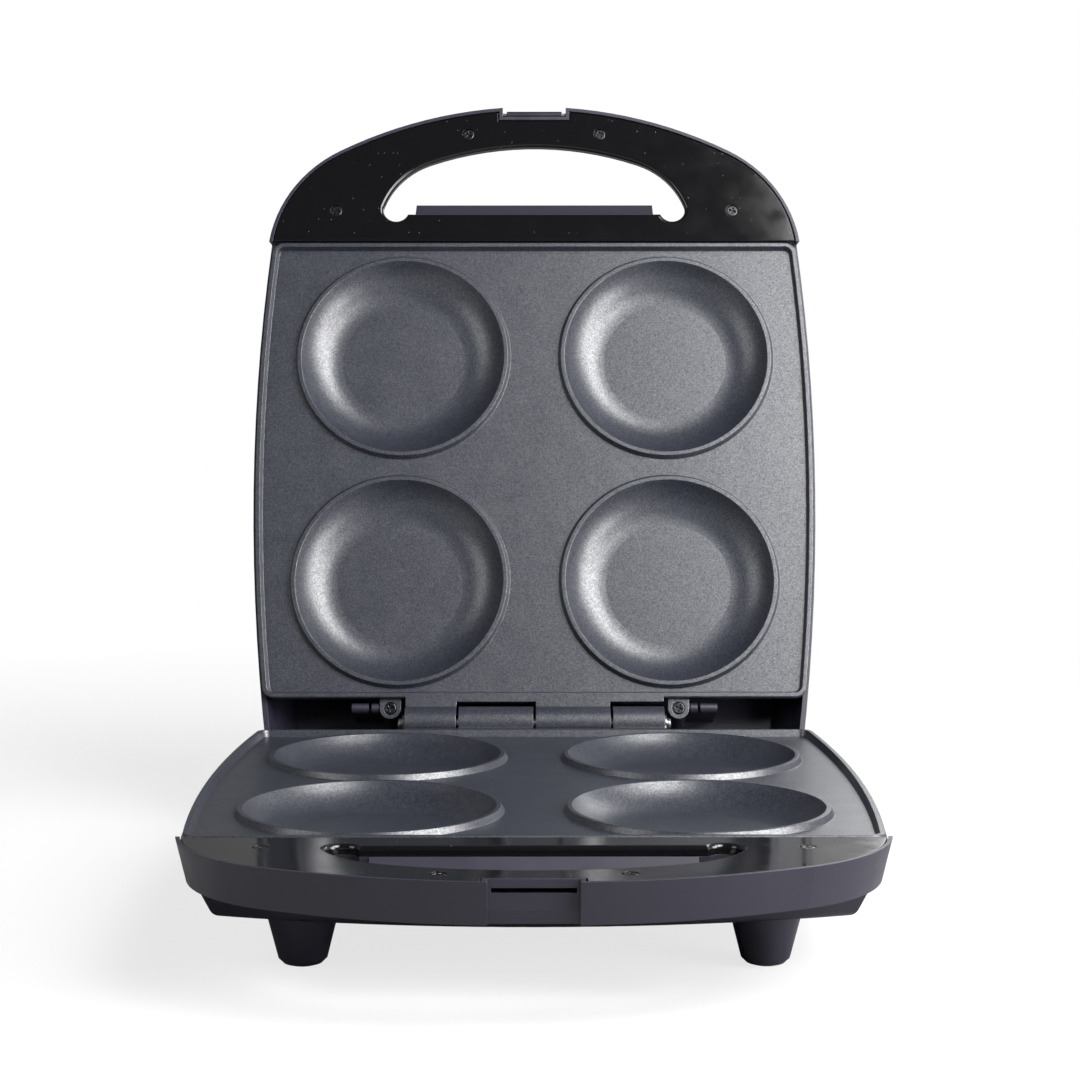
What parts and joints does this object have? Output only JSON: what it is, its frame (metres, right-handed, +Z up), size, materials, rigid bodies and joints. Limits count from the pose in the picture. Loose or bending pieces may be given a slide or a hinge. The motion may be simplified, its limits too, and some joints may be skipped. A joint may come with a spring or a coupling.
{
  "type": "arepa maker",
  "caption": "Countertop arepa maker with a hinged lid, round non-stick cups in both plates, open-loop handles and a flap latch.",
  "frame": {"origin": "on the table under the middle of the open object's bounding box", "axes": "+Z up, -Y towards the handle of the base (the user), +X to the user's right; +X is also the hinge axis"},
  "size_m": [0.2674, 0.439, 0.3445],
  "materials": {
    "casing_plastic": "fine satin texture",
    "cover_plastic": "high gloss",
    "nonstick_coating": "die-cast, speckled non-stick coating",
    "screw_black": "black zinc",
    "steel_bright": "bright zinc",
    "heater_steel": "heat-darkened sheath",
    "reflector_metal": "mill finish sheet",
    "thermostat_body": "moulded phenolic",
    "fuse_sleeve": "braided glass sleeve",
    "connector_plastic": "plain moulded",
    "bush_rubber": "soft matt",
    "clamp_plastic": "plain moulded",
    "pad_rubber": "soft matt",
    "lens_red": "translucent gloss",
    "lens_green": "translucent gloss",
    "lamp_glass": "clear",
    "latch_plastic": "satin moulded"
  },
  "bodies": {
    "base": {"base_cover_screws": "screw_black", "base_cup_plate": "nonstick_coating", "base_handle_cover": "cover_plastic", "base_heater": "heater_steel", "base_heater_clamps": "steel_bright", "base_plate_screws": "steel_bright", "base_reflector": "reflector_metal", "base_shell": "casing_plastic", "base_thermostat": "thermostat_body", "cord_clamp": "clamp_plastic", "cord_clamp_screws": "steel_bright", "cord_gland": "bush_rubber", "foot_pads": "pad_rubber", "fuse_clip": "steel_bright", "hinge_pin": "steel_bright", "hinge_pin_clips": "steel_bright", "terminal_block": "connector_plastic", "thermal_fuse": "fuse_sleeve"},
    "lid": {"lid_cover_screws": "screw_black", "lid_cup_plate": "nonstick_coating", "lid_handle_cover": "cover_plastic", "lid_heater": "heater_steel", "lid_heater_clamps": "steel_bright", "lid_plate_screws": "steel_bright", "lid_reflector": "reflector_metal", "lid_shell": "casing_plastic", "lid_thermostat": "thermostat_body", "indicator_lamps": "lamp_glass", "latch_pin": "steel_bright", "power_lens": "lens_red", "ready_lens": "lens_green"},
    "latch": {"latch": "latch_plastic"}
  },
  "joints": [
    {"name": "lid_hinge", "type": "hinge", "parent": "base", "child": "lid", "pos_m": [0, 0.09283, 0.05425], "axis": [1, 0, 0], "range_deg": [0, 111.3]},
    {"name": "latch_pivot", "type": "hinge", "parent": "lid", "child": "latch", "pos_m": [0, 0.20734, 0.34094], "axis": [1, 0, 0], "range_deg": [0, 180]}
  ]
}
